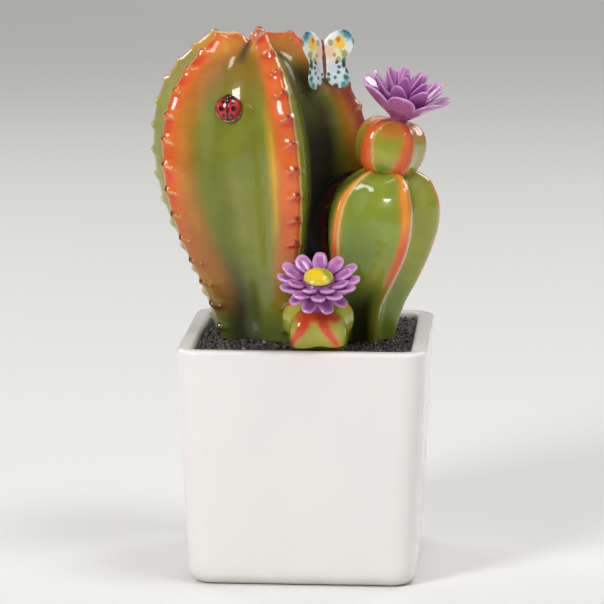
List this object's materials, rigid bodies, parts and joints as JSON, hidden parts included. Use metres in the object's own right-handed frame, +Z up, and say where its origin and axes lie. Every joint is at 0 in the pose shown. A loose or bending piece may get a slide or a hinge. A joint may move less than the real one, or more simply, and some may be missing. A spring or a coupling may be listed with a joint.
{
  "type": "ceramic cactus ornament",
  "caption": "Glazed ceramic ribbed cacti with two blooms, a ladybird and a butterfly, standing in dark grit in a square white tapered pot.",
  "frame": {"origin": "middle of the flat underside of the pot", "axes": "+Z up out of the pot, -Y towards the front where the small cactus and its bloom stand, +X to the right seen from the front"},
  "size_m": [0.1237, 0.1136, 0.2186],
  "materials": {
    "pot_glaze": "gloss",
    "grit": "matte",
    "cactus_glaze": "gloss",
    "petal_glaze": "gloss",
    "disc_glaze": "gloss",
    "ladybird_glaze": "gloss",
    "butterfly_glaze": "gloss"
  },
  "bodies": {
    "root": {"pot": "pot_glaze", "grit": "grit", "large_cactus": "cactus_glaze", "right_cactus": "cactus_glaze", "front_cactus": "cactus_glaze", "front_flower": "petal_glaze", "flower_disc": "disc_glaze", "top_flower": "petal_glaze", "ladybird": "ladybird_glaze", "butterfly": "butterfly_glaze"}
  },
  "joints": []
}
